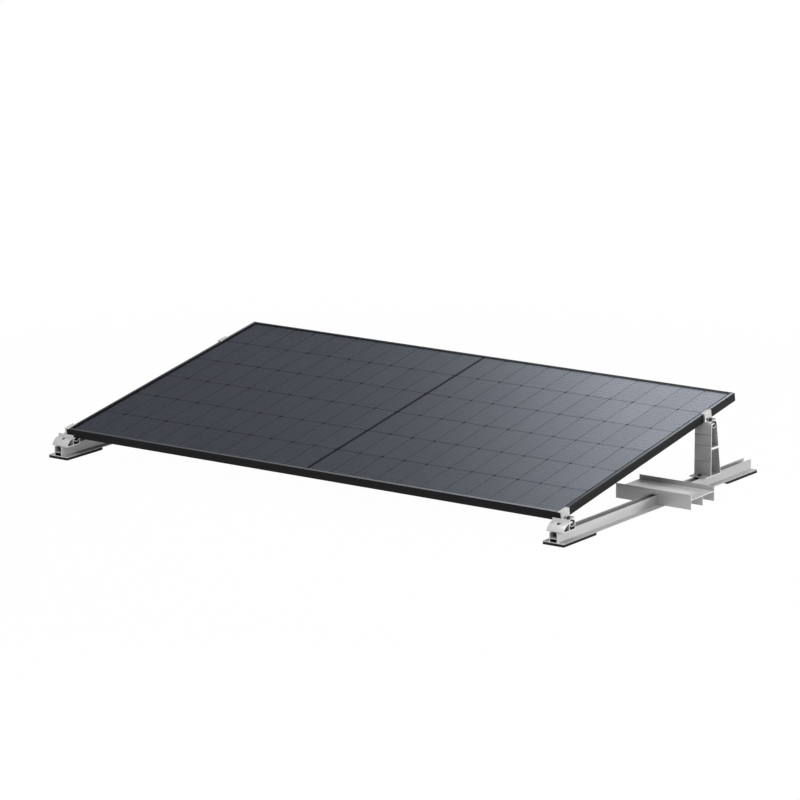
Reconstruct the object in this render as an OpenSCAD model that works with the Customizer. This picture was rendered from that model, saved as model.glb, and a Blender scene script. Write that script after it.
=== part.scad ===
// Flat-roof solar panel mount: one framed module held at a shallow tilt by two ballasted rails.
// X runs across the two rails, Y runs up the slope and Z is up.
// The origin is the middle of the footprint, on the roof.

/* [Solar module] */
// Length of the module across the rails
module_l = 2094; // [1700:1:2400]
// Width of the module up the slope
module_w = 1134; // [1000:1:1200]
// Depth of the module frame
module_h = 30; // [28:1:38]
// Tilt of the module
tilt = 10; // [9:0.5:11]
// Height of the module's low edge above the roof
low_edge_h = 73; // [70:0.5:80]

/* [Module frame] */
// Wall of the frame extrusion
frame_wall = 1.8; // [1.4:0.1:2.2]
// Width of the frame's top lip over the glass
lip_w = 11; // [9:0.5:13]
// Thickness of the frame's top lip
lip_t = 1.3; // [1:0.1:1.8]
// Width of the frame's bottom flange
flange_w = 28; // [22:1:34]
// Bevel on the frame's outer top edge
edge_bevel = 1.2; // [0.4:0.1:1.6]
// Length of each arm of the corner keys
key_arm = 42; // [30:1:60]
// Width of the mounting slots in the bottom flange
slot_w = 9; // [7:0.5:10]
// Length of the mounting slots
slot_l = 14; // [12:1:20]

/* [Laminate] */
// Thickness of the front glass
glass_t = 2; // [1.6:0.1:3.2]
// Thickness of the backsheet with its encapsulant
back_t = 1.6; // [1:0.1:2.2]
// Thickness of a cell
cell_t = 0.3; // [0.2:0.05:0.5]
// Length of a half cell up the slope
cell_l = 182; // [160:1:182]
// Width of a half cell across the rails
cell_w = 91; // [76:0.5:91.5]
// Gap between neighbouring cells across the rails
cell_gap = 1.9; // [1.2:0.1:2.4]
// Gap between neighbouring cells up the slope
row_gap = 2.5; // [1.5:0.1:2.6]
// Gap between the two halves of the cell field
middle_gap = 12.5; // [8:0.5:20]
// Corner chamfer of a cell
cell_chamfer = 5; // [3:0.5:8]
// Least margin between the cells and the module's edge
cell_margin = 13; // [12:0.5:13.5]
// Gap round the laminate in the frame's groove
seal_gap = 0.2; // [0.1:0.05:0.5]

/* [Junction boxes] */
// Length of a junction box
box_l = 98; // [80:1:120]
// Width of a junction box
box_w = 26; // [22:1:32]
// Depth of a junction box below the backsheet
box_h = 15; // [12:0.5:16]
// Spacing of the junction boxes up the slope
box_pitch = 364; // [300:1:370]

/* [Rails] */
// Length of a base rail
rail_l = 1251; // [1220:1:1400]
// How far a rail's centre line lies outside the module's end
rail_out = 3.3; // [0:0.1:6]
// Width of the rail's foot
foot_w = 84; // [76:1:96]
// Thickness of the rail's foot
foot_t = 2.5; // [2:0.1:3.2]
// Overall height of the rail
rail_h = 35.5; // [33:0.5:38]
// Outer width of the rail's channel
channel_w = 33; // [31:0.5:36]
// Wall of the rail's channel
channel_wall = 3; // [2.5:0.1:3.2]
// Width of the slot at the top of the channel
rail_slot = 24; // [22:0.5:24.5]
// Depth of the slot's lips
rail_lip = 3; // [2.4:0.1:3.6]
// Depth from the rail's top to the inner web
web_drop = 19.5; // [17:0.5:21]
// Thickness of the rail's inner web
rail_web_t = 2; // [1.6:0.1:2.6]
// Distance from the rail's front end to the module's low edge
front_setback = 52; // [48:1:60]

/* [Rubber pads] */
// Length of a pad
pad_l = 200; // [150:1:240]
// Thickness of a pad
pad_t = 9.5; // [8:0.5:12]

/* [Brackets] */
// Width of the front brackets and rear posts
bracket_w = 67; // [60:1:76]
// Wall of the bracket extrusions
bracket_wall = 3; // [2.4:0.1:3.4]
// Depth of the seat, from the bracket's front wall to its back
seat_d = 36; // [34:0.5:40]
// Thickness of the seat arms
arm_t = 4; // [3.2:0.1:4.6]
// Width of the slot between the seat arms
seat_slot = 11.5; // [10.5:0.25:12]
// Distance from the seat's front edge to the middle of the slot
slot_back = 25; // [24:0.25:25.5]
// Inner radius of the clamp channel
channel_r = 15; // [14:0.25:15]
// Depth of the clamp channel's floor below the seat
channel_depth = 16; // [14.5:0.5:18]
// Wall of the clamp channel's curved floor
floor_wall = 2; // [1.6:0.1:2.6]
// Height of the front stop above the module's low edge
stop_h = 10; // [6:0.5:14]
// Gap between the front stop and the module
stop_gap = 2.2; // [1:0.1:3]
// Radius of the curved front skin
skin_r = 42; // [40:0.5:46]
// Thickness of the curved front skin
skin_t = 2.6; // [2:0.1:3.2]
// How far the curved skin reaches in front of the stop
skin_reach = 36.5; // [34:0.5:38]
// Diameter of the access hole in the skin
access_d = 14; // [12:0.5:16]

/* [Rear posts] */
// Distance from the module's high edge back to the post's front wall
post_inset = 221; // [200:1:260]
// Depth of the post's foot behind its front wall
post_foot_d = 67; // [60:1:76]
// How far the foot's tongue reaches in front of the front wall
tongue = 34; // [30:1:40]
// Height of the cross web above the rail
web_h = 103; // [90:1:115]
// Thickness of the cross web
web_t = 8; // [5:0.5:10]
// Depth of the marker grooves in the front wall
groove_d = 0.7; // [0.4:0.1:1]
// Height of a marker groove
groove_h = 1.4; // [1:0.1:2]

/* [Clamps] */
// Width of a clamp up the slope
clamp_w = 44; // [40:1:48]
// Thickness of the clamp's web
clamp_web = 7.5; // [6:0.25:8]
// Thickness of the clamp's lip
clamp_lip_t = 3.4; // [2.6:0.1:4]
// How far the lip reaches over the module frame
clamp_reach = 9; // [6:0.5:10]
// Thickness of the clamp's foot
clamp_foot_t = 4; // [3:0.25:5]
// How far the foot reaches outside the web
clamp_foot_l = 17; // [15.5:0.5:19]
// Gap between the clamp's web and the module
clamp_gap = 1; // [0.4:0.1:1.6]
// Distance from the clamp's front edge to its bolt
clamp_bolt_y = 20; // [17:0.5:24]
// Distance from the clamp's web to its bolt
clamp_bolt_x = 8.5; // [7.5:0.25:9.5]

/* [Ballast trays] */
// Length of a tray across its rail
tray_l = 300; // [240:1:400]
// Depth of a tray along its rail
tray_d = 155; // [130:1:200]
// Thickness of the tray's plate and flanges
tray_t = 3; // [2.4:0.1:3.6]
// Height of the upstands above the plate
upstand_h = 16.4; // [12:0.2:22]
// Distance from the rail's front end to the tray
tray_setback = 624; // [540:1:680]
// Clearance between a tray's notches and the rail
notch_gap = 0.6; // [0.3:0.1:1.2]

/* [Fasteners] */
// Diameter of the bolts' shanks
bolt_d = 8; // [6:0.5:8.5]
// Diameter of the clamp bolts' socket heads
head_d = 13; // [12:0.5:14]
// Height of the clamp bolts' socket heads
head_h = 8; // [6:0.5:9]
// Diameter of the bracket bolts' flanged heads
flange_head_d = 17; // [16:0.5:19]
// Height of the bracket bolts' hexagons
hex_h = 5.5; // [4:0.5:7]
// Length of a channel nut
nut_l = 22; // [18:1:26]
// Width of a clamp nut across its channel
clamp_nut_w = 17; // [15:0.5:19]
// Thickness of a channel nut
nut_t = 6; // [5:0.5:7]
// Clearance round a bolt and beside a nut
fit_gap = 0.5; // [0.2:0.1:0.8]

/* [Hidden] */
$fn = 48;

left = -1;
right = 1;
rail_top = pad_t + rail_h;
rail_x = module_l / 2 + rail_out;
low_edge_y = front_setback - rail_l / 2;
slope = tan(tilt);
past = 1;

// Module frame and laminate
laminate_t = back_t + cell_t + glass_t;
shelf_z = module_h - lip_t - seal_gap - laminate_t;
laminate_inset = frame_wall + seal_gap;
cells_per_half = floor((module_l / 2 - middle_gap / 2 - cell_margin + cell_gap) / (cell_w + cell_gap));
cell_rows = floor((module_w - 2 * cell_margin + row_gap) / (cell_l + row_gap));
slot_inset = (lip_w + flange_w) / 2;
slot_places = [-0.36, -0.2, 0.2, 0.36];
key_gap = 0.2;
box_wall = 2;
lid_t = 2.2;

// Front bracket, measured from the module's low edge
base_z = rail_top - low_edge_h;
stop_back = -stop_h * slope - stop_gap;
stop_front = stop_back - bracket_wall;
skin_toe = stop_front - skin_reach;
skin_chord = [skin_reach, -base_z];
skin_mid = [stop_front - skin_reach / 2, base_z / 2];
skin_rise = sqrt(skin_r * skin_r - skin_chord * skin_chord / 4);
skin_centre = skin_mid + [skin_chord[1], -skin_chord[0]] * skin_rise / norm(skin_chord);
front_bolt_y = stop_front - access_d / 2 - bracket_wall * 2;

// Rear post, measured from the foot of its front wall
post_y = module_w * cos(tilt) - post_inset;
post_front_h = low_edge_h + post_y * slope - rail_top;
post_back_h = post_front_h + seat_d * slope;
leg_lean = (post_foot_d - seat_d) / (post_back_h - bracket_wall);
leg_wall = bracket_wall * sqrt(1 + leg_lean * leg_lean);
groove_heights = [53, 109, 147];
tongue_bolt_y = -tongue / 2;

// Clamps, measured in the plane of the module's underside
seat_mid = seat_d / 2;
front_clamp_u = (stop_front + slot_back) / cos(tilt);
rear_clamp_u = (post_y + slot_back) / cos(tilt);
clamp_x = module_l / 2 + clamp_gap;
clamp_bolt_at = clamp_x + clamp_web + clamp_bolt_x;
clamp_ease = 0.8;
disc_drop = channel_depth - channel_r;
disc_from_bolt = [(seat_mid - slot_back) / cos(tilt) - disc_drop * sin(tilt), -disc_drop * cos(tilt)];
bolt_hole_d = bolt_d + 2 * fit_gap;
bolt_end = 2;
clamp_bolt_end = 0.6;
clip_l = 18;

// Draws a profile of Y and Z, and extrudes it along X about the middle
module extrude_x(length) {
    translate([-length / 2, 0, 0]) rotate([90, 0, 90]) linear_extrude(length) children();
}

// Draws a profile of X and Z, and extrudes it along Y from the origin
module extrude_y(length) {
    translate([0, length, 0]) rotate([90, 0, 0]) linear_extrude(length) children();
}

// A rectangle between two corners
module rect(low, high) {
    translate(low) square(high - low);
}

// Places a shape at the rail of one side
module at_rail(side) {
    translate([side * rail_x, 0, 0]) children();
}

// Places a shape at the module's low edge, upright
module at_low_edge() {
    translate([0, low_edge_y, low_edge_h]) children();
}

// Places a shape in the tilted plane of the module's underside
module in_module() {
    at_low_edge() rotate([tilt, 0, 0]) children();
}

// Section of a base rail: a wide foot under an open channel with an inner web
module rail_section() {
    inner = channel_w - 2 * channel_wall;
    web_top = rail_h - web_drop;
    rect([-foot_w / 2, 0], [foot_w / 2, foot_t]);
    difference() {
        rect([-channel_w / 2, 0], [channel_w / 2, rail_h]);
        rect([-inner / 2, foot_t], [inner / 2, web_top - rail_web_t]);
        rect([-inner / 2, web_top], [inner / 2, rail_h - rail_lip]);
        rect([-rail_slot / 2, web_top], [rail_slot / 2, rail_h + past]);
    }
}

module rail(side) {
    color("silver") at_rail(side) translate([0, -rail_l / 2, pad_t])
        extrude_y(rail_l) rail_section();
}

// A rubber pad under one end of a rail, flush with the rail's foot
module pad(side, end) {
    start = end < 0 ? -rail_l / 2 : rail_l / 2 - pad_l;
    color("dimgray") at_rail(side) translate([-foot_w / 2, start, 0]) cube([foot_w, pad_l, pad_t]);
}

// Cuts the clamp channel and its slot below a sloping seat that starts at the given corner
module clamp_channel(corner) {
    middle = corner + [seat_mid, seat_mid * slope];
    intersection() {
        translate(middle - [0, disc_drop]) circle(channel_r);
        translate(middle) rotate(tilt) rect([-seat_d, -seat_d], [seat_d, -arm_t]);
    }
    translate(corner + [slot_back, slot_back * slope]) rotate(tilt)
        rect([-seat_slot / 2, -arm_t - past], [seat_slot / 2, arm_t]);
}

// The outside of the clamp channel's curved floor
module channel_floor(corner) {
    translate(corner + [seat_mid, seat_mid * slope - disc_drop]) circle(channel_r + floor_wall);
}

// Section of the front bracket: base, curved skin, stop and seat
module front_bracket_section() {
    seat = [stop_front, stop_front * slope];
    back = stop_front + seat_d;
    difference() {
        union() {
            rect([skin_toe, base_z], [back, base_z + bracket_wall]);
            rect([stop_front, base_z], [stop_back, stop_h]);
            polygon([
                [stop_front, base_z], [back, base_z], [back, back * slope], seat
            ]);
        }
        difference() {
            rect([stop_back, base_z + bracket_wall], [back - bracket_wall, seat_mid * slope]);
            channel_floor(seat);
            polygon([
                seat - [0, arm_t], [back, back * slope - arm_t], [back, stop_h * 2], [stop_front, stop_h * 2]
            ]);
        }
        clamp_channel(seat);
    }
    intersection() {
        difference() {
            translate(skin_centre) circle(skin_r);
            translate(skin_centre) circle(skin_r - skin_t);
        }
        rect([skin_toe, base_z], [stop_front, stop_h]);
    }
}

module front_bracket(side) {
    color("gainsboro") at_rail(side) at_low_edge() difference() {
        extrude_x(bracket_w) front_bracket_section();
        translate([0, front_bolt_y, base_z - past]) cylinder(d = bolt_hole_d, h = bracket_wall + 2 * past);
        translate([0, front_bolt_y, base_z + bracket_wall + past]) cylinder(d = access_d, h = -base_z);
    }
}

// Where the outer face of the rear leg lies at a height above the rail
function leg_y(z) = post_foot_d - leg_lean * (z - bracket_wall);

// Where the inner face of the rear leg lies at a height above the rail
function leg_inner_y(z) = leg_y(z) - leg_wall;

// Section of the rear post: foot, front wall, leaning leg, cross web and seat
module rear_post_section() {
    seat = [0, post_front_h];
    web_low = web_h - web_t;
    neck = post_front_h + seat_mid * slope - disc_drop;
    difference() {
        union() {
            rect([-tongue, 0], [post_foot_d, bracket_wall]);
            polygon([
                [0, 0], [post_foot_d, 0], [post_foot_d, bracket_wall], [seat_d, post_back_h], seat
            ]);
        }
        polygon([
            [bracket_wall, bracket_wall], [leg_inner_y(bracket_wall), bracket_wall],
            [leg_inner_y(web_low), web_low], [bracket_wall, web_low]
        ]);
        difference() {
            polygon([
                [bracket_wall, web_h], [leg_inner_y(web_h), web_h], [leg_inner_y(neck), neck],
                [bracket_wall, neck]
            ]);
            channel_floor(seat);
        }
        clamp_channel(seat);
        for (z = groove_heights) polygon([
            [-past, z - groove_h], [groove_d, z], [-past, z + groove_h]
        ]);
    }
}

module rear_post(side) {
    color("silver") at_rail(side) translate([0, low_edge_y + post_y, rail_top]) difference() {
        extrude_x(bracket_w) rear_post_section();
        translate([0, tongue_bolt_y, -past]) cylinder(d = bolt_hole_d, h = bracket_wall + 2 * past);
    }
}

// Section of the ballast tray: a plate with front and back upstands and three flanges below
module tray_section() {
    drop = rail_h - foot_t - notch_gap;
    middle = (tray_d - tray_t) / 2;
    rect([0, 0], [tray_d, tray_t]);
    for (y = [0, tray_d - tray_t]) rect([y, -drop], [y + tray_t, tray_t + upstand_h]);
    rect([middle, -drop], [middle + tray_t, tray_t]);
}

module ballast_tray(side) {
    notch_w = channel_w + 2 * notch_gap;
    color("silver") at_rail(side) translate([0, tray_setback - rail_l / 2, rail_top]) difference() {
        extrude_x(tray_l) tray_section();
        translate([-notch_w / 2, -past, -rail_h]) cube([notch_w, tray_d + 2 * past, rail_h]);
    }
}

// Section of an end clamp: a foot outside the module, a web beside it and a lip over its frame
module clamp_section() {
    outside = clamp_x + clamp_web;
    top = module_h + clamp_lip_t;
    polygon([
        [clamp_x, 0], [outside + clamp_foot_l, 0], [outside + clamp_foot_l, clamp_foot_t],
        [outside + clamp_ease, clamp_foot_t], [outside, clamp_foot_t + clamp_ease],
        [outside, top - clamp_ease], [outside - clamp_ease, top],
        [module_l / 2 - clamp_reach, top], [module_l / 2 - clamp_reach, module_h], [clamp_x, module_h]
    ]);
}

// Places a shape at the bolt of one clamp, on the seat
module at_clamp(side, u) {
    in_module() mirror([side == left ? 1 : 0, 0, 0]) translate([0, u, 0]) children();
}

module clamp(side, u) {
    color("gainsboro") at_clamp(side, u) difference() {
        translate([0, -clamp_bolt_y, 0]) extrude_y(clamp_w) clamp_section();
        translate([clamp_bolt_at, 0, -past]) cylinder(d = bolt_hole_d, h = clamp_foot_t + 2 * past);
    }
}

// Repeats a shape at all four clamp bolts
module at_clamp_bolts() {
    for (side = [left, right], u = [front_clamp_u, rear_clamp_u])
        at_clamp(side, u) translate([clamp_bolt_at, 0, 0]) children();
}

// Plastic clips that fill the seat's slot round each clamp bolt
module clamp_clips() {
    clip_w = seat_slot - 2 * fit_gap;
    color("black") at_clamp_bolts() difference() {
        translate([-clip_l / 2, -clip_w / 2, -arm_t]) cube([clip_l, clip_w, arm_t]);
        translate([0, 0, -arm_t - past]) cylinder(d = bolt_hole_d, h = arm_t + 2 * past);
    }
}

// Nuts under the seat arms, rounded to the channel's curved floor
module clamp_nuts() {
    color("darkgray") at_clamp_bolts() difference() {
        intersection() {
            translate([-nut_l / 2, -clamp_nut_w / 2, -arm_t - nut_t]) cube([nut_l, clamp_nut_w, nut_t]);
            extrude_x(nut_l) translate(disc_from_bolt) circle(channel_r - fit_gap);
        }
        translate([0, 0, -arm_t - nut_t - past]) cylinder(d = bolt_d, h = nut_t + 2 * past);
    }
}

// Socket-head bolts of the clamps
module clamp_bolts() {
    reach = clamp_foot_t + arm_t + nut_t + clamp_bolt_end;
    color("dimgray") at_clamp_bolts() difference() {
        union() {
            translate([0, 0, clamp_foot_t]) cylinder(d = head_d, h = head_h);
            translate([0, 0, clamp_foot_t - reach]) cylinder(d = bolt_d - fit_gap / 2, h = reach + past);
        }
        translate([0, 0, clamp_foot_t + head_h / 2]) cylinder(d = head_d / 2, h = head_h, $fn = 6);
    }
}

// A hexagon bolt with a flange, standing on the base plate of a bracket
module flange_bolt() {
    reach = bracket_wall + rail_lip + nut_t + bolt_end;
    flange_t = 1.8;
    translate([0, 0, bracket_wall]) cylinder(d = flange_head_d, h = flange_t);
    translate([0, 0, bracket_wall]) cylinder(d = flange_head_d * 0.85, h = flange_t + hex_h, $fn = 6);
    translate([0, 0, bracket_wall - reach]) cylinder(d = bolt_d - fit_gap / 2, h = reach + past);
}

module front_bracket_bolts() {
    color("dimgray") for (side = [left, right])
        at_rail(side) translate([0, low_edge_y + front_bolt_y, rail_top]) flange_bolt();
}

module rear_post_bolts() {
    color("dimgray") for (side = [left, right])
        at_rail(side) translate([0, low_edge_y + post_y + tongue_bolt_y, rail_top]) flange_bolt();
}

// Nuts that hang under the rails' lips and take the bracket bolts
module channel_nuts() {
    nut_w = channel_w - 2 * channel_wall - 2 * fit_gap;
    color("darkgray") for (side = [left, right], y = [front_bolt_y, post_y + tongue_bolt_y])
        at_rail(side) translate([0, low_edge_y + y, rail_top - rail_lip - nut_t]) difference() {
            translate([-nut_w / 2, -nut_l / 2, 0]) cube([nut_w, nut_l, nut_t]);
            translate([0, 0, -past]) cylinder(d = bolt_d, h = nut_t + 2 * past);
        }
}

// Section of the module frame: outer wall, hollow chamber, glass groove and bottom flange
module frame_section() {
    difference() {
        polygon([
            [0, 0], [flange_w, 0], [flange_w, frame_wall], [lip_w, frame_wall], [lip_w, shelf_z],
            [frame_wall, shelf_z], [frame_wall, module_h - lip_t], [lip_w, module_h - lip_t],
            [lip_w, module_h], [edge_bevel, module_h], [0, module_h - edge_bevel]
        ]);
        rect([frame_wall, frame_wall], [lip_w - frame_wall, shelf_z - frame_wall]);
    }
}

// A slot in the bottom flange, long side along X
module mounting_slot() {
    travel = (slot_l - slot_w) / 2;
    for (x = [-travel, travel]) translate([x, 0, -past]) cylinder(d = slot_w, h = frame_wall + 2 * past);
    translate([-travel, -slot_w / 2, -past]) cube([2 * travel, slot_w, frame_wall + 2 * past]);
}

// One bar of the frame with mitred ends, its outer face on Y = 0
module frame_bar(length, slots) {
    color([0.1, 0.1, 0.11]) difference() {
        intersection() {
            extrude_x(length) frame_section();
            linear_extrude(module_h) polygon([
                [-length / 2, 0], [length / 2, 0],
                [length / 2 - flange_w, flange_w], [-length / 2 + flange_w, flange_w]
            ]);
        }
        for (place = slots) translate([place * length, slot_inset, 0]) mounting_slot();
    }
}

module frame_long_bar(turn) {
    in_module() translate([0, module_w / 2, 0]) rotate([0, 0, turn])
        translate([0, -module_w / 2, 0]) frame_bar(module_l, slot_places);
}

module frame_short_bar(turn) {
    in_module() translate([0, module_w / 2, 0]) rotate([0, 0, turn])
        translate([0, -module_l / 2, 0]) frame_bar(module_w, []);
}

// Keys inside the frame's chambers, which join its mitred corners
module frame_corner_keys() {
    low = frame_wall + key_gap;
    across = lip_w - 2 * low;
    high = shelf_z - 2 * low;
    color("gray") in_module() translate([0, module_w / 2, 0])
        for (a = [0, 1], b = [0, 1]) mirror([a, 0, 0]) mirror([0, b, 0])
            translate([low - module_l / 2, low - module_w / 2, low]) {
                cube([key_arm, across, high]);
                cube([across, key_arm, high]);
            }
}

// A flat sheet of the laminate
module laminate_sheet(z, thickness) {
    in_module() translate([-module_l / 2 + laminate_inset, laminate_inset, z])
        cube([module_l - 2 * laminate_inset, module_w - 2 * laminate_inset, thickness]);
}

module backsheet() {
    color("black") laminate_sheet(shelf_z, back_t);
}

module front_glass() {
    color([0.5, 0.6, 0.7, 0.4]) laminate_sheet(shelf_z + back_t + cell_t, glass_t);
}

// Outline of a half cell with clipped corners
module cell_outline() {
    x = cell_w / 2;
    y = cell_l / 2;
    c = cell_chamfer;
    polygon([
        [-x + c, -y], [x - c, -y], [x, -y + c], [x, y - c],
        [x - c, y], [-x + c, y], [-x, y - c], [-x, -y + c]
    ]);
}

// Two halves of the cell field, with a wider gap between them
module cells() {
    pitch_x = cell_w + cell_gap;
    pitch_y = cell_l + row_gap;
    color("midnightblue") in_module() translate([0, module_w / 2, shelf_z + back_t])
        for (side = [left, right], i = [0:cells_per_half - 1], j = [0:cell_rows - 1])
            translate([
                side * (middle_gap / 2 + cell_w / 2 + i * pitch_x), (j - (cell_rows - 1) / 2) * pitch_y, 0
            ]) linear_extrude(cell_t) cell_outline();
}

// Repeats a shape at the three junction boxes, on the back of the laminate
module at_junction_boxes() {
    in_module() for (k = [-1:1]) translate([0, module_w / 2 + k * box_pitch, shelf_z]) children();
}

module junction_boxes() {
    color("black") at_junction_boxes() difference() {
        translate([-box_w / 2, -box_l / 2, lid_t - box_h]) cube([box_w, box_l, box_h - lid_t]);
        translate([-box_w / 2 + box_wall, -box_l / 2 + box_wall, lid_t - box_h - past])
            cube([box_w - 2 * box_wall, box_l - 2 * box_wall, box_h - lid_t - box_wall + past]);
    }
}

module junction_box_lids() {
    color("black") at_junction_boxes()
        translate([-box_w / 2, -box_l / 2, -box_h]) cube([box_w, box_l, lid_t]);
}

rail(left);  // rail_left
rail(right);  // rail_right
pad(left, -1);  // pad_front_left
pad(right, -1);  // pad_front_right
pad(left, 1);  // pad_rear_left
pad(right, 1);  // pad_rear_right
front_bracket(left);  // front_bracket_left
front_bracket(right);  // front_bracket_right
rear_post(left);  // rear_post_left
rear_post(right);  // rear_post_right
ballast_tray(left);  // ballast_tray_left
ballast_tray(right);  // ballast_tray_right
clamp(left, front_clamp_u);  // clamp_front_left
clamp(right, front_clamp_u);  // clamp_front_right
clamp(left, rear_clamp_u);  // clamp_rear_left
clamp(right, rear_clamp_u);  // clamp_rear_right
clamp_clips();
clamp_nuts();
clamp_bolts();
front_bracket_bolts();
rear_post_bolts();
channel_nuts();
frame_long_bar(0);  // frame_front
frame_long_bar(180);  // frame_rear
frame_short_bar(270);  // frame_left
frame_short_bar(90);  // frame_right
frame_corner_keys();
front_glass();
cells();
backsheet();
junction_boxes();
junction_box_lids();
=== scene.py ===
"""Dresses the flat-roof solar panel mount: finishes, fine pieces, studio and camera, in metres."""

import logging
import math
from dataclasses import dataclass, field, replace
from enum import Enum

import bmesh
import bpy
from mathutils import Matrix, Vector
from mathutils.bvhtree import BVHTree

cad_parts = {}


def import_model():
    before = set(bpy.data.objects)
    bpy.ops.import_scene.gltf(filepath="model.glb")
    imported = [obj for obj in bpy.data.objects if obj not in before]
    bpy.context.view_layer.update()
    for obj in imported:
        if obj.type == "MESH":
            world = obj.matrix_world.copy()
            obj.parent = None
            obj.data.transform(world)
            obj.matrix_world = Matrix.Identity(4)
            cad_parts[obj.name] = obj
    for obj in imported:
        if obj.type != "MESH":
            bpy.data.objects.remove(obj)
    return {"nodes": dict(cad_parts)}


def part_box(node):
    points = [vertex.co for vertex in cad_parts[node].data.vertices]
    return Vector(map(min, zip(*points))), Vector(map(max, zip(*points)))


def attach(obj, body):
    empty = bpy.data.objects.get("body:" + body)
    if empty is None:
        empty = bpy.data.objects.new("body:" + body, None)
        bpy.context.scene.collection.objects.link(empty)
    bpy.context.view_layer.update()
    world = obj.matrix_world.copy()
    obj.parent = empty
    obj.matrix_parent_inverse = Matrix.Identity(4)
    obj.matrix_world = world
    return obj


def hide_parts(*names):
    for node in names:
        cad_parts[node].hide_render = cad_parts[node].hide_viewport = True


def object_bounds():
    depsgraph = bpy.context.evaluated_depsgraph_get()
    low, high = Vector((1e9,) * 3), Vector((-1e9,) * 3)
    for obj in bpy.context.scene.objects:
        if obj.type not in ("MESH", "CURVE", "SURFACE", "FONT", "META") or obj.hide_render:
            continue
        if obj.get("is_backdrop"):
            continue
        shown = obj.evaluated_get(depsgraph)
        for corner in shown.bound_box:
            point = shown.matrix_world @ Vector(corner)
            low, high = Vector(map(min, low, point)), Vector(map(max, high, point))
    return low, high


LOG = logging.getLogger("solar_panel_mount")
MM = 0.001
BODY = "root"
SIDES = ("left", "right")
ENDS = ("front", "rear")
SMOOTH_ANGLE = math.radians(32)
SECOND_FINISH = 1
PAINTED_SHADE_FINISH = 2
WHITE = (1.0, 1.0, 1.0)
Colour = tuple[float, float, float]
Point = tuple[float, float, float]
Socket = bpy.types.NodeSocket


class Axis(Enum):
    """The way an extrusion was drawn."""

    X = 0
    Y = 1

    @property
    def vector(self) -> Vector:
        """The unit vector of the axis."""
        return Vector((1.0, 0.0, 0.0)) if self is Axis.X else Vector((0.0, 1.0, 0.0))


class MixSlot(Enum):
    """Sockets of a Mix node that blends colours, by their places in its lists."""

    FACTOR = 0
    LOW = 6
    HIGH = 7
    RESULT = 2


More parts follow.
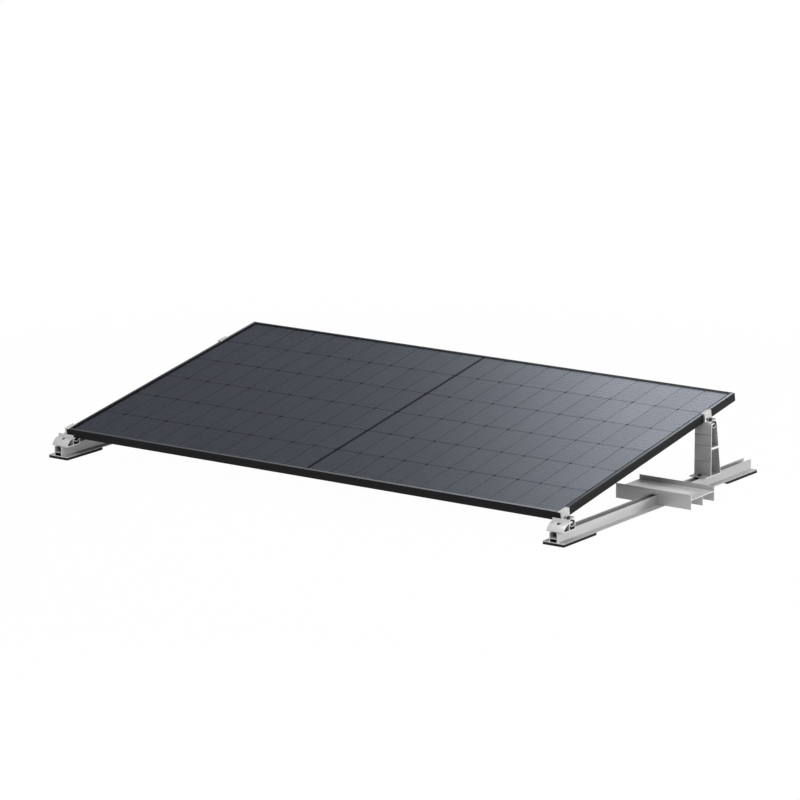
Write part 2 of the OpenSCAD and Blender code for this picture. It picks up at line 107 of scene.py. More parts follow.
class Nodes:
    """Adds shader nodes to one material or world and wires them."""

    def __init__(self, owner: bpy.types.Material | bpy.types.World) -> None:
        """Empties the owner's tree.

        Args:
            owner: the material or world whose nodes are made.
        """
        owner.use_nodes = True
        self.tree = owner.node_tree
        self.tree.nodes.clear()

    def add(self, kind: str, **values: object) -> bpy.types.Node:
        """Adds a node.

        Args:
            kind: the node's type name.
            values: properties of the node, and with a leading underscore its input sockets.

        Returns:
            The new node.
        """
        node = self.tree.nodes.new(kind)
        for key, value in values.items():
            if key.startswith("_"):
                node.inputs[key[1:].replace("_", " ")].default_value = value
            else:
                setattr(node, key, value)
        return node

    def link(self, source: Socket, target: Socket) -> None:
        """Wires an output to an input."""
        self.tree.links.new(source, target)

    def math(self, operation: str, *inputs: Socket | float) -> Socket:
        """Adds a Math node.

        Args:
            operation: the sum to do.
            inputs: sockets or numbers, in order.

        Returns:
            The node's result.
        """
        node = self.add("ShaderNodeMath", operation=operation)
        for slot, value in zip(node.inputs, inputs):
            if isinstance(value, (int, float)):
                slot.default_value = value
            else:
                self.link(value, slot)
        return node.outputs[0]

    def coordinates(self, location: Point = (0, 0, 0), turn: Point = (0, 0, 0),
                    scale: Point = (1, 1, 1)) -> Socket:
        """Adds Object coordinates behind a Mapping node.

        Args:
            location: the shift, after the turn.
            turn: the turn about X, Y and Z, in radians.
            scale: the scale along X, Y and Z.

        Returns:
            The mapped vector.
        """
        place = self.add("ShaderNodeTexCoord")
        mapping = self.add("ShaderNodeMapping", _Location=location, _Rotation=turn, _Scale=scale)
        self.link(place.outputs["Object"], mapping.inputs["Vector"])
        return mapping.outputs["Vector"]

    def split(self, vector: Socket) -> tuple[Socket, Socket, Socket]:
        """Splits a vector.

        Args:
            vector: the vector to split.

        Returns:
            Its X, Y and Z.
        """
        node = self.add("ShaderNodeSeparateXYZ")
        self.link(vector, node.inputs[0])
        return tuple(node.outputs)

    def noise(self, scale: float, detail: float = 2.0, roughness: float = 0.5,
              stretch: Point = (1, 1, 1)) -> Socket:
        """Adds cloudy noise on Object coordinates.

        Args:
            scale: how many clouds there are to a metre.
            detail: how many finer layers it has.
            roughness: how strong the finer layers are.
            stretch: a scale of its own along X, Y and Z.

        Returns:
            The noise, from 0 to 1.
        """
        node = self.add("ShaderNodeTexNoise", _Scale=scale, _Detail=detail, _Roughness=roughness)
        self.link(self.coordinates(scale=stretch), node.inputs["Vector"])
        return node.outputs[0]

    def ramp(self, source: Socket, low: float, high: float) -> Socket:
        """Maps 0 to 1 on to low to high.

        Args:
            source: the value to map.
            low: the result at 0.
            high: the result at 1.

        Returns:
            The mapped value.
        """
        node = self.add("ShaderNodeMapRange", clamp=True)
        node.inputs["To Min"].default_value = low
        node.inputs["To Max"].default_value = high
        self.link(source, node.inputs["Value"])
        return node.outputs["Result"]

    def blend(self, factor: Socket, low: Socket | Colour, high: Socket | Colour) -> Socket:
        """Blends two colours.

        Args:
            factor: how much of the second colour shows.
            low: the first colour, or where it comes from.
            high: the second colour, or where it comes from.

        Returns:
            The blended colour.
        """
        node = self.add("ShaderNodeMix", data_type="RGBA")
        self.link(factor, node.inputs[MixSlot.FACTOR.value])
        for slot, value in ((MixSlot.LOW, low), (MixSlot.HIGH, high)):
            if isinstance(value, tuple):
                node.inputs[slot.value].default_value = (*value, 1.0)
            else:
                self.link(value, node.inputs[slot.value])
        return node.outputs[MixSlot.RESULT.value]

    def bump(self, height: Socket, depth: float, strength: float) -> Socket:
        """Turns a height into a normal.

        Args:
            height: the height, from 0 to 1.
            depth: how deep the relief is, in metres.
            strength: how strongly it shows.

        Returns:
            The normal.
        """
        node = self.add("ShaderNodeBump", _Strength=strength, _Distance=depth)
        self.link(height, node.inputs["Height"])
        return node.outputs["Normal"]

    def surface(self, **values: object) -> bpy.types.Node:
        """Adds the shader and the output.

        Args:
            values: input sockets of the shader, spaces written as underscores.

        Returns:
            The shader node.
        """
        sockets = {"_" + key: value for key, value in values.items()}
        shader = self.add("ShaderNodeBsdfPrincipled", **sockets)
        output = self.add("ShaderNodeOutputMaterial")
        self.link(shader.outputs["BSDF"], output.inputs["Surface"])
        return shader

    def rays(self) -> tuple[Socket, Socket]:
        """Tells which rays meet a surface.

        Returns:
            1 for camera rays, and 1 for rays that were mirrored or went through something clear.
        """
        path = self.add("ShaderNodeLightPath")
        bent = self.math("MAXIMUM", path.outputs["Is Glossy Ray"], path.outputs["Is Transmission Ray"])
        return path.outputs["Is Camera Ray"], bent

    def shader_mix(self, share: Socket, low: bpy.types.Node, high: bpy.types.Node, output: str) -> None:
        """Mixes two shaders and shows the result.

        Args:
            share: how much of the second shader shows.
            low: the first shader.
            high: the second shader.
            output: the type name of the output node.
        """
        mix = self.add("ShaderNodeMixShader")
        for slot, source in zip(mix.inputs, (share, low.outputs[0], high.outputs[0])):
            self.link(source, slot)
        self.link(mix.outputs[0], self.add(output).inputs["Surface"])


def tint(colour: Colour, factor: float) -> Colour:
    """The colour times a factor."""
    return tuple(channel * factor for channel in colour)


@dataclass(frozen=True)
class ExtrudedFinish:
    """Mill-finish or anodised aluminium with fine die lines along its length."""

    name: str
    colour: Colour
    axis: Axis
    metallic: float = 0.3
    roughness: float = 0.42
    roughness_spread: float = 0.06
    specular: float = 0.5
    contrast: float = 0.07
    line_pitch: float = 2.4 * MM
    line_length: float = 0.35
    line_depth: float = 0.02 * MM
    line_share: float = 0.6
    cloud_size: float = 0.12
    grooves: tuple[float, ...] = ()
    groove_width: float = 2.0 * MM
    groove_shade: float = 0.6

    def paint_groove_shade(self, nodes: Nodes, metal: Socket) -> Socket:
        """Darkens the marker grooves that run along the section with painted shade.

        Args:
            nodes: the material's nodes.
            metal: the colour of the metal between the grooves.

        Returns:
            The colour with the painted shade in the grooves.
        """
        _, _, height = nodes.split(nodes.coordinates())
        # painted shade: a darker band of the metal's colour at each groove's height
        groove_shade_mask = 0.0
        for groove in self.grooves:
            hollow_shade = nodes.math("COMPARE", height, groove, self.groove_width / 2)
            groove_shade_mask = nodes.math("MAXIMUM", groove_shade_mask, hollow_shade)
        return nodes.blend(groove_shade_mask, metal, tint(self.colour, self.groove_shade))

    def material(self) -> bpy.types.Material:
        """Builds the finish.

        Returns:
            The new material.
        """
        material = bpy.data.materials.new(self.name)
        nodes = Nodes(material)
        stretch = [1 / self.line_pitch] * 3
        stretch[self.axis.value] = 1 / self.line_length
        lines = nodes.noise(1.0, detail=3.0, roughness=0.6, stretch=tuple(stretch))
        clouds = nodes.noise(1 / self.cloud_size)
        shade = nodes.math("ADD", nodes.math("MULTIPLY", lines, self.line_share),
                           nodes.math("MULTIPLY", clouds, 1 - self.line_share))
        shader = nodes.surface(Metallic=self.metallic, Specular_IOR_Level=self.specular)
        metal = nodes.blend(shade, tint(self.colour, 1 - self.contrast), tint(self.colour, 1 + self.contrast))
        if self.grooves:
            metal = self.paint_groove_shade(nodes, metal)
        nodes.link(metal, shader.inputs["Base Color"])
        roughness = nodes.ramp(shade, self.roughness - self.roughness_spread,
                               self.roughness + self.roughness_spread)
        nodes.link(roughness, shader.inputs["Roughness"])
        nodes.link(nodes.bump(lines, self.line_depth, 0.5), shader.inputs["Normal"])
        return material


@dataclass(frozen=True)
class SawnFinish:
    """The bright cut end of an extrusion, with fine arcs left by the saw."""

    name: str
    colour: Colour = (0.82, 0.82, 0.82)
    valley_shade: float = 0.94
    metallic: float = 0.3
    roughness: float = 0.34
    roughness_spread: float = 0.1
    arc_pitch: float = 0.7 * MM
    arc_radius: float = 0.25
    arc_depth: float = 0.02 * MM

    def material(self) -> bpy.types.Material:
        """Builds the finish.

        Returns:
            The new material.
        """
        material = bpy.data.materials.new(self.name)
        nodes = Nodes(material)
        wave = nodes.add("ShaderNodeTexWave", wave_type="RINGS", rings_direction="SPHERICAL",
                         _Scale=1 / (math.tau * self.arc_pitch), _Distortion=1.5, _Detail=1.0)
        nodes.link(nodes.coordinates(location=(0, self.arc_radius, self.arc_radius)), wave.inputs["Vector"])
        arcs = wave.outputs["Fac"]
        shader = nodes.surface(Metallic=self.metallic)
        metal = nodes.blend(arcs, tint(self.colour, self.valley_shade), self.colour)
        roughness = nodes.ramp(arcs, self.roughness, self.roughness + self.roughness_spread)
        nodes.link(metal, shader.inputs["Base Color"])
        nodes.link(roughness, shader.inputs["Roughness"])
        nodes.link(nodes.bump(arcs, self.arc_depth, 0.4), shader.inputs["Normal"])
        return material


@dataclass(frozen=True)
class GrainedFinish:
    """A surface that one fine noise shades, roughens and dents: brushed steel or moulded plastic."""

    name: str
    colour: Colour
    roughness: float
    metallic: float
    specular: float
    grain_size: float
    grain_detail: float
    grain_roughness: float
    shades: tuple[float, float]
    roughness_range: tuple[float, float]
    grain_depth: float
    grain_strength: float

    def material(self) -> bpy.types.Material:
        """Builds the finish.

        Returns:
            The new material.
        """
        material = bpy.data.materials.new(self.name)
        nodes = Nodes(material)
        grain = nodes.noise(1 / self.grain_size, self.grain_detail, self.grain_roughness)
        shader = nodes.surface(Metallic=self.metallic, Specular_IOR_Level=self.specular)
        low, high = (tint(self.colour, shade) for shade in self.shades)
        nodes.link(nodes.blend(grain, low, high), shader.inputs["Base Color"])
        smooth, rough = (self.roughness + change for change in self.roughness_range)
        nodes.link(nodes.ramp(grain, smooth, rough), shader.inputs["Roughness"])
        nodes.link(nodes.bump(grain, self.grain_depth, self.grain_strength), shader.inputs["Normal"])
        return material


@dataclass(frozen=True)
class SteelFinish(GrainedFinish):
    """Stainless fasteners, lightly brushed and a little stained."""

    roughness: float = 0.34
    metallic: float = 0.85
    specular: float = 0.5
    grain_size: float = 4 * MM
    grain_detail: float = 4.0
    grain_roughness: float = 0.65
    shades: tuple[float, float] = (0.8, 1.15)
    roughness_range: tuple[float, float] = (-0.08, 0.12)
    grain_depth: float = 0.03 * MM
    grain_strength: float = 0.4


@dataclass(frozen=True)
class PlasticFinish(GrainedFinish):
    """Black moulded plastic with a fine spark-eroded grain."""

    colour: Colour = (0.016, 0.016, 0.017)
    roughness: float = 0.55
    metallic: float = 0.0
    specular: float = 0.35
    grain_size: float = 0.8 * MM
    grain_detail: float = 2.0
    grain_roughness: float = 0.5
    shades: tuple[float, float] = (0.85, 1.15)
    roughness_range: tuple[float, float] = (-0.07, 0.07)
    grain_depth: float = 0.05 * MM
    grain_strength: float = 0.5


@dataclass(frozen=True)
class RubberFinish:
    """Bonded rubber granulate, matt and pitted, with a few paler grains."""

    name: str
    colour: Colour = (0.012, 0.012, 0.013)
    grain_colour: Colour = (0.045, 0.045, 0.047)
    grain_size: float = 2.6 * MM
    grain_depth: float = 0.5 * MM
    grain_shuffle: float = 7.0
    pale_rarity: float = 4.0
    roughness: float = 0.92
    specular: float = 0.25

    def material(self) -> bpy.types.Material:
        """Builds the finish.

        Returns:
            The new material.
        """
        material = bpy.data.materials.new(self.name)
        nodes = Nodes(material)
        grains = nodes.add("ShaderNodeTexVoronoi", feature="F1", _Scale=1 / self.grain_size)
        nodes.link(nodes.coordinates(), grains.inputs["Vector"])
        shuffled = nodes.math("FRACT", nodes.math("MULTIPLY", grains.outputs["Color"], self.grain_shuffle))
        paler = nodes.math("POWER", shuffled, self.pale_rarity)
        shader = nodes.surface(Roughness=self.roughness, Specular_IOR_Level=self.specular)
        nodes.link(nodes.blend(paler, self.colour, self.grain_colour), shader.inputs["Base Color"])
        height = nodes.math("SUBTRACT", 1.0, grains.outputs["Distance"])
        nodes.link(nodes.bump(height, self.grain_depth, 0.8), shader.inputs["Normal"])
        return material


@dataclass(frozen=True)
class GlassFinish:
    """Front glass with an anti-reflective coat that lets all light through."""

    name: str
    veil: float = 0.0
    roughness: float = 0.03
    smear: float = 0.03
    smear_size: float = 0.15

    def material(self) -> bpy.types.Material:
        """Builds the finish.

        Returns:
            The new material.
        """
        material = bpy.data.materials.new(self.name)
        nodes = Nodes(material)
        smears = nodes.noise(1 / self.smear_size)
        shader = nodes.surface(Base_Color=(0.0, 0.0, 0.0, 1.0), IOR=1.5, Alpha=self.veil)
        roughness = nodes.ramp(smears, self.roughness, self.roughness + self.smear)
        nodes.link(roughness, shader.inputs["Roughness"])
        return material


@dataclass(frozen=True)
class ModulePlane:
    """The tilted plane of the module: X along the module, u up the slope, h out of the glass."""

    tilt: float = math.radians(10)
    length: float = 2.094
    width: float = 1.134
    depth: float = 0.030

    @property
    def matrix(self) -> Matrix:
        """The turn and shift from the plane to the mount.

        Returns:
            A matrix whose origin is the middle of the module's low edge, on its underside.
        """
        low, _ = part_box("frame_front")
        corner = Vector((0.0, low[1] + self.depth * math.sin(self.tilt), low[2]))
        return Matrix.Translation(corner) @ Matrix.Rotation(self.tilt, 4, "X")

    def mapping(self) -> tuple[Point, Point]:
        """The location and turn with which a Mapping node gives the plane's own coordinates.

        Returns:
            The location and the turn.
        """
        inverse = self.matrix.inverted()
        return tuple(inverse.translation), (-self.tilt, 0.0, 0.0)


@dataclass(frozen=True)
class CellGrid:
    """Places of the half cells in the module's plane."""

    rows: int = 6
    columns: int = 11
    length: float = 182 * MM
    width: float = 91 * MM
    gap: float = 1.9 * MM
    row_gap: float = 2.5 * MM
    middle_gap: float = 12.5 * MM

    @property
    def row_pitch(self) -> float:
        """Distance between neighbouring rows."""
        return self.length + self.row_gap

    @property
    def column_pitch(self) -> float:
        """Distance between neighbouring columns."""
        return self.width + self.gap

    @property
    def half_length(self) -> float:
        """Length of one half of the cell field."""
        return self.columns * self.column_pitch - self.gap

    def row_middle(self, plane: ModulePlane, row: int) -> float:
        """Where the middle of a row lies up the slope.

        Args:
            plane: the module's plane.
            row: the row, from the low edge.

        Returns:
            The distance up the slope.
        """
        return plane.width / 2 + (row - (self.rows - 1) / 2) * self.row_pitch


@dataclass(frozen=True)
class CellFinish:
    """Blue-black silicon under a thin coat: each cell a little different, with fine fingers."""

    name: str
    plane: ModulePlane
    grid: CellGrid
    colour: Colour = (0.0165, 0.021, 0.029)
    spread: float = 0.12
    finger_colour: Colour = (0.025, 0.03, 0.039)
    finger_pitch: float = 1.3 * MM
    finger_share: float = 0.12
    roughness: float = 0.46
    roughness_spread: float = 0.015
    specular: float = 0.05

    def cell_number(self, nodes: Nodes, along: Socket, slope: Socket) -> Socket:
        """Gives every cell its own random value.

        Args:
            nodes: the material's nodes.
            along: the place along the module, from its middle.
            slope: the place up the slope.

        Returns:
            A value from 0 to 1 that is the same all over a cell.
        """
        side = nodes.math("SIGN", along)
        out = nodes.math("SUBTRACT", nodes.math("ABSOLUTE", along), self.grid.middle_gap / 2)
        column = nodes.math("FLOOR", nodes.math("DIVIDE", out, self.grid.column_pitch))
        first = self.grid.row_middle(self.plane, 0) - self.grid.row_pitch / 2
        row = nodes.math("DIVIDE", nodes.math("SUBTRACT", slope, first), self.grid.row_pitch)
        index = nodes.add("ShaderNodeCombineXYZ")
        nodes.link(nodes.math("MULTIPLY", side, nodes.math("ADD", column, 1.0)), index.inputs[0])
        nodes.link(nodes.math("FLOOR", row), index.inputs[1])
        random = nodes.add("ShaderNodeTexWhiteNoise", noise_dimensions="3D")
        nodes.link(index.outputs[0], random.inputs["Vector"])
        return random.outputs["Value"]

    def fingers(self, nodes: Nodes, along: Socket) -> Socket:
        """Draws the fine silver fingers that cross each cell up the slope.

        Args:
            nodes: the material's nodes.
            along: the place along the module.

        Returns:
            1 on a finger and 0 beside it.
        """
        place = nodes.math("FRACT", nodes.math("DIVIDE", along, self.finger_pitch))
        return nodes.math("LESS_THAN", place, self.finger_share)

    def material(self) -> bpy.types.Material:
        """Builds the finish.

        Returns:
            The new material.
        """
        material = bpy.data.materials.new(self.name)
        nodes = Nodes(material)
        location, turn = self.plane.mapping()
        along, slope, _ = nodes.split(nodes.coordinates(location=location, turn=turn))
        number = self.cell_number(nodes, along, slope)
        shader = nodes.surface(Specular_IOR_Level=self.specular)
        silicon = nodes.blend(number, tint(self.colour, 1 - self.spread), tint(self.colour, 1 + self.spread))
        drawn = nodes.blend(self.fingers(nodes, along), silicon, self.finger_colour)
        nodes.link(drawn, shader.inputs["Base Color"])
        roughness = nodes.ramp(number, self.roughness - self.roughness_spread,
                               self.roughness + self.roughness_spread)
        nodes.link(roughness, shader.inputs["Roughness"])
        return material


def mesh_object(name: str, bm: bmesh.types.BMesh, materials: list[bpy.types.Material],
                node: str | None = None) -> bpy.types.Object:
    """Makes a piece of the mount from a bmesh, hangs it on the mount's body, and hides the CAD node that it
    replaces.

    Args:
        name: the piece's name.
        bm: its mesh, which is freed.
        materials: its materials, in order.
        node: the CAD node that it replaces, if any.

    Returns:
        The new object.
    """
    mesh = bpy.data.meshes.new(name)
    bm.to_mesh(mesh)
    bm.free()
    mesh.shade_smooth()
    mesh.set_sharp_from_angle(angle=SMOOTH_ANGLE)
    for material in materials:
        mesh.materials.append(material)
    piece = bpy.data.objects.new(name, mesh)
    bpy.context.scene.collection.objects.link(piece)
    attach(piece, BODY)
    if node:
        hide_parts(node)
    LOG.info("%s: %d faces", name, len(mesh.polygons))
    return piece


def repaint(piece: bpy.types.Object, material: bpy.types.Material) -> None:
    """Gives a CAD node one material, with its mesh as it is.

    Args:
        piece: the node's object.
        material: its finish.
    """
    if not piece.material_slots:
        piece.data.materials.append(material)
    for slot in piece.material_slots:
        slot.material = material
    LOG.info("%s: finished as %s", piece.name, material.name)


@dataclass
class EdgedCopy:
    """A copy of a CAD node with its sharp edges broken, which stands for the node."""

    node: str
    edge: float = 0.35 * MM
    segments: int = 2
    weld: float = 0.002 * MM
    flat_angle: float = math.radians(0.5)
    least_angle: float = math.radians(28)
    cavity: float = 30 * MM
    ray_lift: float = 0.1 * MM
    ray_angles: tuple[float, ...] = (-55.0, -28.0, 0.0, 28.0, 55.0)
    least_met: int = 3
    end_cosine: float = 0.98

    def mesh(self) -> bmesh.types.BMesh:
        """Welds the node's loose triangles into faces, and bevels the sharp edges.

        Returns:
            The new mesh.
        """
        bm = bmesh.new()
        bm.from_mesh(FRAME["nodes"][self.node].data)
        bmesh.ops.remove_doubles(bm, verts=bm.verts, dist=self.weld)
        bmesh.ops.dissolve_limit(bm, angle_limit=self.flat_angle, verts=bm.verts, edges=bm.edges)
        sharp = [edge for edge in bm.edges if edge.is_manifold and edge.calc_face_angle() > self.least_angle]
        bmesh.ops.bevel(bm, geom=sharp, offset=self.edge, offset_type="OFFSET", segments=self.segments,
                        profile=0.5, affect="EDGES", clamp_overlap=True, material=-1)
        return bm

    def paint_cavity_shade(self, bm: bmesh.types.BMesh, axis: Axis) -> None:
        """Gives the faces that look nearly only at the piece itself a dark material: painted shade for the
        hollows that little light reaches.

        Args:
            bm: the piece's mesh.
            axis: the axis along which the piece was extruded.
        """
        tree = BVHTree.FromBMesh(bm)
        fan = [Matrix.Rotation(math.radians(angle), 3, axis.vector) for angle in self.ray_angles]
        for face in bm.faces:
            start = face.calc_center_bounds() + face.normal * self.ray_lift
            met = sum(tree.ray_cast(start, turn @ face.normal, self.cavity)[0] is not None for turn in fan)
            if met >= self.least_met:
                face.material_index = PAINTED_SHADE_FINISH

    def build(self, materials: list[bpy.types.Material], slot: str,
              sawn: Axis | None = None) -> bpy.types.Object:
        """Makes the piece.

        Args:
            materials: its finish, and after it those of its sawn ends and of the painted shade in its
                hollows.
            slot: not used.
            sawn: the axis along which it was extruded, if its ends are sawn.

        Returns:
            The new object.
        """
        bm = self.mesh()
        if sawn:
            bm.normal_update()
            # faces deep in the piece's hollows get painted shade
            if len(materials) > PAINTED_SHADE_FINISH:
                self.paint_cavity_shade(bm, sawn)
            for face in bm.faces:
                if abs(face.normal.dot(sawn.vector)) > self.end_cosine:
                    face.material_index = SECOND_FINISH
        return mesh_object(self.node + "_finished", bm, materials, self.node)


@dataclass
class SolarModule:
    """The framed module: bars, glass, cells with their wires, backsheet and junction boxes."""

    plane: ModulePlane = field(default_factory=ModulePlane)
    grid: CellGrid = field(default_factory=CellGrid)
    wires_per_cell: int = 10
    wire_width: float = 0.5 * MM
    wire_height: float = 0.25 * MM
    glass_lift: float = 0.45 * MM
    laminate_inset: float = 2.0 * MM
    glass_top: float = 28.5 * MM
    glass_under: float = 26.5 * MM
    bar_edge: float = 0.3 * MM
    box_edge: float = 0.6 * MM
    lip_edge: float = 0.4 * MM
    side_colour: Colour = (0.016, 0.016, 0.0165)
    side_gloss: float = 0.07
    # paler colour of the lips' top faces: a painted sheen
    lip_sheen_colour: Colour = (0.034, 0.034, 0.034)
    lip_gloss: float = 0.11
    key_colour: Colour = (0.5, 0.5, 0.5)
    wire_colour: Colour = (0.025, 0.03, 0.039)
    backsheet_colour: Colour = (0.0045, 0.0055, 0.009)

    def slab(self, bm: bmesh.types.BMesh, low: Vector, high: Vector) -> None:
        """Adds a box between two corners of the module's plane.

        Args:
            bm: the mesh that it is added to.
            low: the lowest corner.
            high: the highest corner.
        """
        made = bmesh.ops.create_cube(bm, size=1.0)["verts"]
        place = Matrix.Translation((low + high) / 2) @ Matrix.Diagonal((*(high - low), 1.0))
        bmesh.ops.transform(bm, matrix=self.plane.matrix @ place, verts=made)

    def build_glass(self) -> bpy.types.Object:
        """Builds the front glass, lifted clear of the cells and their wires.

        Returns:
            The new object.
        """
        bm = bmesh.new()
        reach = self.plane.length / 2 - self.laminate_inset
        low = Vector((-reach, self.laminate_inset, self.glass_under + self.glass_lift))
        self.slab(bm, low, Vector((reach, self.plane.width - self.laminate_inset, self.glass_top)))
        finish = GlassFinish("coated_glass")
        return mesh_object("front_glass_finished", bm, [finish.material()], "front_glass")

    def build_wires(self) -> bpy.types.Object:
        """Builds the thin wires that join the cells of each string.

        Returns:
            The new object.
        """
        bm = bmesh.new()
        spacing = self.grid.length / self.wires_per_cell
        top = self.glass_under + self.wire_height
        for side in (-1, 1):
            near = side * self.grid.middle_gap / 2
            far = near + side * self.grid.half_length
            for row in range(self.grid.rows):
                middle = self.grid.row_middle(self.plane, row)
                for wire in range(self.wires_per_cell):
                    up = middle + (wire - (self.wires_per_cell - 1) / 2) * spacing
                    low = Vector((min(near, far), up - self.wire_width / 2, self.glass_under))
                    self.slab(bm, low, Vector((max(near, far), up + self.wire_width / 2, top)))
        finish = SteelFinish("cell_wire", self.wire_colour, roughness=0.46, metallic=0.0, specular=0.038)
        return mesh_object("cell_wires", bm, [finish.material()])

    def dress_laminate(self) -> list[bpy.types.Object]:
        """Gives the backsheet and the cells their finishes.

        Returns:
            The backsheet and the cells.
        """
        cells = FRAME["nodes"]["cells"]
        repaint(cells, CellFinish("silicon_cell", self.plane, self.grid).material())
        backsheet = FRAME["nodes"]["backsheet"]
        finish = PlasticFinish("black_backsheet", self.backsheet_colour, roughness=0.5, specular=0.009)
        repaint(backsheet, finish.material())
        return [backsheet, cells]

    def paint_lip_sheen(self, bar: bpy.types.Object) -> None:
        """Gives the top faces of a bar's lip a paler material: a painted sheen for the light that the lip
        catches.

        Args:
            bar: the bar, with the lip's painted sheen as its second finish.
        """
        inverse = self.plane.matrix.inverted()
        for face in bar.data.polygons:
            middle = inverse @ face.center
            edge = min(self.plane.length / 2 - abs(middle.x), middle.y, self.plane.width - middle.y)
            if middle.z > self.glass_under and edge > self.lip_edge:
                face.material_index = SECOND_FINISH

    def black_finish(self, name: str, colour: Colour, axis: Axis, specular: float) -> bpy.types.Material:
        """Builds the black anodised finish of a bar.

        Args:
            name: the finish's name.
            colour: its colour.
            axis: the axis along which the bar was extruded.
            specular: how strongly it mirrors.

        Returns:
            The new material.
        """
        finish = ExtrudedFinish(name, colour, axis, metallic=0.0, roughness=0.6, specular=specular,
                                contrast=0.12)
        return finish.material()

    def build_frame(self) -> list[bpy.types.Object]:
        """Builds the four black anodised bars and dresses the corner keys.

        Returns:
            The bars.
        """
        bars = []
        for name, axis in (("front", Axis.X), ("rear", Axis.X), ("left", Axis.Y), ("right", Axis.Y)):
            side = self.black_finish("anodised_black_" + name, self.side_colour, axis, self.side_gloss)
            # the lip's top faces get a paler copy of the black anodised finish: painted sheen
            lip_sheen = self.black_finish("painted_lip_sheen_" + name, self.lip_sheen_colour, axis, self.lip_gloss)
            bar = EdgedCopy("frame_" + name, edge=self.bar_edge).build([side, lip_sheen], "module_frame")
            self.paint_lip_sheen(bar)
            bars.append(bar)
        keys = ExtrudedFinish("key_aluminium", self.key_colour, Axis.X)
        repaint(FRAME["nodes"]["frame_corner_keys"], keys.material())
        return bars

    def build_junction_boxes(self) -> None:
        """Builds the junction boxes and their ribbed lids."""
        material = PlasticFinish("box_plastic").material()
        for node in ("junction_boxes", "junction_box_lids"):
            EdgedCopy(node, edge=self.box_edge).build([material], "box_plastic")

    def build(self) -> list[bpy.types.Object]:
        """Builds the whole module.

        Returns:
            The pieces that mirror the low softbox: the bars, the wires, the backsheet and the cells.
        """
        bars = self.build_frame()
        self.build_glass()
        self.build_junction_boxes()
        return [*bars, self.build_wires(), *self.dress_laminate()]


@dataclass
class Supports:
    """Rails, pads, brackets, posts, trays and clamps."""

    rail_colour: Colour = (0.41, 0.41, 0.415)
    bracket_colour: Colour = (0.66, 0.66, 0.66)
    post_colour: Colour = (0.38, 0.38, 0.385)
    tray_colour: Colour = (0.47, 0.47, 0.475)
    clamp_colour: Colour = (0.58, 0.58, 0.58)
    # colour of the painted shade on faces deep inside the channels
    cavity_shade_colour: Colour = (0.075, 0.075, 0.076)
    # heights of the post's marker grooves, darkened with painted shade
    post_grooves: tuple[float, ...] = (98 * MM, 154 * MM, 192 * MM)
    small_edge: float = 0.25 * MM
    pad_edge: float = 0.8 * MM

    def build(self) -> list[bpy.types.Object]:
        """Builds every support.

        Returns:
            The trays, whose plates catch the light of a softbox of their own.
        """
        trays = []
        small = self.small_edge
        ends = SawnFinish("sawn_ends").material()
        rail = ExtrudedFinish("rail_aluminium", self.rail_colour, Axis.Y).material()
        bracket = ExtrudedFinish("bracket_aluminium", self.bracket_colour, Axis.X).material()
        # the post's marker grooves get painted shade
        post = ExtrudedFinish("post_aluminium", self.post_colour, Axis.X,
                              grooves=self.post_grooves).material()
        tray = ExtrudedFinish("tray_aluminium", self.tray_colour, Axis.X).material()
        clamp = ExtrudedFinish("clamp_aluminium", self.clamp_colour, Axis.Y, metallic=0.6,
                               roughness=0.25).material()
        # painted shade: a dark material for faces deep in the hollows of rails, brackets and posts
        hollow_shade = ExtrudedFinish("painted_cavity_shade", self.cavity_shade_colour, Axis.Y, metallic=0.1,
                                roughness=0.6).material()
        rubber = RubberFinish("pad_granulate").material()
        for side in SIDES:
            EdgedCopy("rail_" + side, least_met=4).build([rail, ends, hollow_shade], "rail", Axis.Y)
            EdgedCopy("front_bracket_" + side, edge=small).build([bracket, ends, hollow_shade], "bracket", Axis.X)
            EdgedCopy("rear_post_" + side, edge=small).build([post, ends, hollow_shade], "post", Axis.X)
            trays.append(EdgedCopy("ballast_tray_" + side).build([tray, ends], "tray", Axis.X))
            for end in ENDS:
                EdgedCopy(f"clamp_{end}_{side}", edge=small).build([clamp], "clamp")
                EdgedCopy(f"pad_{end}_{side}", edge=self.pad_edge).build([rubber], "pad_rubber")
        return trays


@dataclass
class Fasteners:
    """Bolts, nuts and clips."""

    bolt_colour: Colour = (0.035, 0.035, 0.037)
    nut_colour: Colour = (0.045, 0.045, 0.047)
    bolt_edge: float = 0.2 * MM
    nut_edge: float = 0.3 * MM

    def build(self) -> None:
        """Builds every fastener."""
        bolt = SteelFinish("bolt_steel", self.bolt_colour, metallic=0.5).material()
        nut = SteelFinish("nut_steel", self.nut_colour, metallic=0.6).material()
        clip = PlasticFinish("clip_plastic").material()
        for node in ("clamp_bolts", "front_bracket_bolts", "rear_post_bolts"):
            EdgedCopy(node, edge=self.bolt_edge).build([bolt], "bolt_steel")
        for node in ("clamp_nuts", "channel_nuts"):
            EdgedCopy(node, edge=self.nut_edge).build([nut], "nut_steel")
        EdgedCopy("clamp_clips", edge=self.nut_edge).build([clip], "clip_plastic")


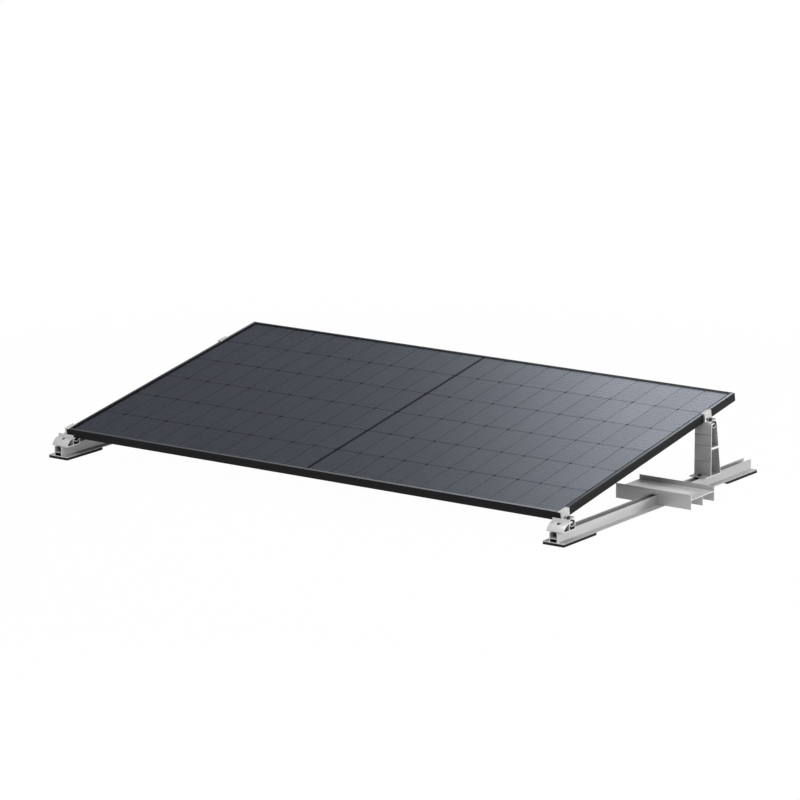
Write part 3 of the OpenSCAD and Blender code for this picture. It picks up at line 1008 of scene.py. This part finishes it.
@dataclass(frozen=True)
class Softbox:
    """A soft rectangular lamp: where it hangs, what it points at, its size and its watts."""

    name: str
    place: Point
    target: Point
    size: tuple[float, float]
    power: float
    colour: Colour = WHITE

    def hang(self) -> bpy.types.Object:
        """Hangs the lamp.

        Returns:
            The new lamp.
        """
        data = bpy.data.lights.new(self.name, "AREA")
        data.shape = "RECTANGLE"
        data.size, data.size_y = self.size
        data.energy = self.power
        data.color = self.colour
        lamp = bpy.data.objects.new(self.name, data)
        lamp.location = self.place
        aim = Vector(self.target) - Vector(self.place)
        lamp.rotation_euler = aim.to_track_quat("-Z", "Y").to_euler()
        lamp.visible_camera = False
        bpy.context.scene.collection.objects.link(lamp)
        return lamp

    def hang_for(self, lit: list[bpy.types.Object], blockers: list[bpy.types.Object]) -> None:
        """Hangs the lamp so that it lights some pieces only.

        Args:
            lit: the pieces that it lights.
            blockers: the pieces that cast a shadow in its light.
        """
        linking = self.hang().light_linking
        linking.receiver_collection = bpy.data.collections.new(self.name + "_receivers")
        linking.blocker_collection = bpy.data.collections.new(self.name + "_blockers")
        for piece in lit:
            linking.receiver_collection.objects.link(piece)
        for piece in blockers:
            linking.blocker_collection.objects.link(piece)


@dataclass
class Studio:
    """Floor, world, lamps and camera."""

    floor_radius: float = 40.0
    floor_sides: int = 96
    floor_drop: float = 0.2 * MM
    floor_colour: Colour = (0.85, 0.85, 0.85)
    shade_radius: float = 2.2
    white_radius: float = 3.4
    floor_white: float = 0.985
    day_level: float = 0.35
    side_softbox: Softbox = Softbox("side_softbox", (4.2, 2.7, 1.15), (0.9, 0.0, 0.1), (1.6, 1.1), 88.0)
    top_softbox: Softbox = Softbox("top_softbox", (1.4, -1.2, 3.8), (0.4, 0.0, 0.1), (3.0, 2.6), 90.0)
    cell_softbox: Softbox = Softbox("cell_softbox", (-2.22, 6.0, 3.01), (0.6, 0.2, 0.2), (2.14, 3.32), 470.0,
                                    (0.84, 0.89, 1.0))
    tray_power: float = 60.0
    camera_place: Point = (8.6431, -12.374, 3.719)
    camera_pitch: float = math.radians(90 - 12.992)
    camera_yaw: float = math.radians(34.942)
    lens: float = 197.5
    sensor: float = 36.0
    sight: float = 200.0

    def build_world(self) -> None:
        """Lights the mount evenly, and shows white behind it."""
        world = bpy.data.worlds.new("studio")
        bpy.context.scene.world = world
        nodes = Nodes(world)
        day = nodes.add("ShaderNodeBackground", _Color=(*WHITE, 1.0), _Strength=self.day_level)
        white = nodes.add("ShaderNodeBackground", _Color=(*WHITE, 1.0), _Strength=1.0)
        seen, bent = nodes.rays()
        nodes.shader_mix(nodes.math("MAXIMUM", seen, bent), day, white, "ShaderNodeOutputWorld")

    def floor_material(self) -> bpy.types.Material:
        """Builds a pale floor that shows as white and keeps a faint shadow under the mount.

        Returns:
            The new material.
        """
        material = bpy.data.materials.new("pale_floor")
        nodes = Nodes(material)
        place = nodes.add("ShaderNodeTexCoord")
        distance = nodes.add("ShaderNodeVectorMath", operation="LENGTH")
        nodes.link(place.outputs["Object"], distance.inputs[0])
        far = nodes.add("ShaderNodeMapRange", clamp=True)
        for key, value in (("From Min", self.shade_radius), ("From Max", self.white_radius),
                           ("To Min", self.floor_white), ("To Max", 1.0)):
            far.inputs[key].default_value = value
        nodes.link(distance.outputs["Value"], far.inputs["Value"])
        seen, bent = nodes.rays()
        share = nodes.math("MAXIMUM", nodes.math("MULTIPLY", seen, far.outputs[0]), bent)
        matt = nodes.add("ShaderNodeBsdfDiffuse", _Color=(*self.floor_colour, 1.0))
        white = nodes.add("ShaderNodeEmission", _Color=(*WHITE, 1.0), _Strength=1.0)
        nodes.shader_mix(share, matt, white, "ShaderNodeOutputMaterial")
        return material

    def build_floor(self) -> None:
        """Lays the floor under the pads."""
        bm = bmesh.new()
        bmesh.ops.create_circle(bm, cap_ends=True, radius=self.floor_radius, segments=self.floor_sides)
        mesh = bpy.data.meshes.new("studio_floor")
        bm.to_mesh(mesh)
        bm.free()
        mesh.materials.append(self.floor_material())
        floor = bpy.data.objects.new("studio_floor", mesh)
        bpy.context.scene.collection.objects.link(floor)
        floor.location.z = -self.floor_drop
        floor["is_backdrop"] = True

    def build_lamps(self, mirrors: list[bpy.types.Object], trays: list[bpy.types.Object]) -> None:
        """Hangs the lamps.

        Args:
            mirrors: the pieces that alone mirror the low softbox behind the mount, the cells last.
            trays: the trays, whose plates catch a weaker softbox in the same place.
        """
        cells = mirrors[-1:]
        tray_softbox = replace(self.cell_softbox, name="tray_softbox", power=self.tray_power, colour=WHITE)
        self.side_softbox.hang()
        self.top_softbox.hang()
        self.cell_softbox.hang_for(mirrors, cells)
        tray_softbox.hang_for(trays, cells)

    def build_camera(self) -> None:
        """Sets the camera where the photograph was taken."""
        data = bpy.data.cameras.new("camera")
        data.lens = self.lens
        data.sensor_width = self.sensor
        data.clip_end = self.sight
        camera = bpy.data.objects.new("camera", data)
        camera.location = self.camera_place
        camera.rotation_euler = (self.camera_pitch, 0.0, self.camera_yaw)
        bpy.context.scene.collection.objects.link(camera)
        bpy.context.scene.camera = camera

    def build(self, mirrors: list[bpy.types.Object], trays: list[bpy.types.Object]) -> None:
        """Builds the studio.

        Args:
            mirrors: the pieces that mirror the low softbox, the cells last.
            trays: the ballast trays.
        """
        bpy.context.scene.view_settings.view_transform = "Standard"
        self.build_camera()
        self.build_world()
        self.build_floor()
        self.build_lamps(mirrors, trays)


def main(cad_box: tuple[Point, Point]) -> None:
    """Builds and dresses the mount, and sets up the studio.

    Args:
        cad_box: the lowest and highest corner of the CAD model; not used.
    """
    logging.basicConfig(level=logging.INFO, format="%(name)s: %(message)s")
    mirrors = SolarModule().build()
    trays = Supports().build()
    Fasteners().build()
    Studio().build(mirrors, trays)


if __name__ == "__main__":
    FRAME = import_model()
    main(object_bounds())
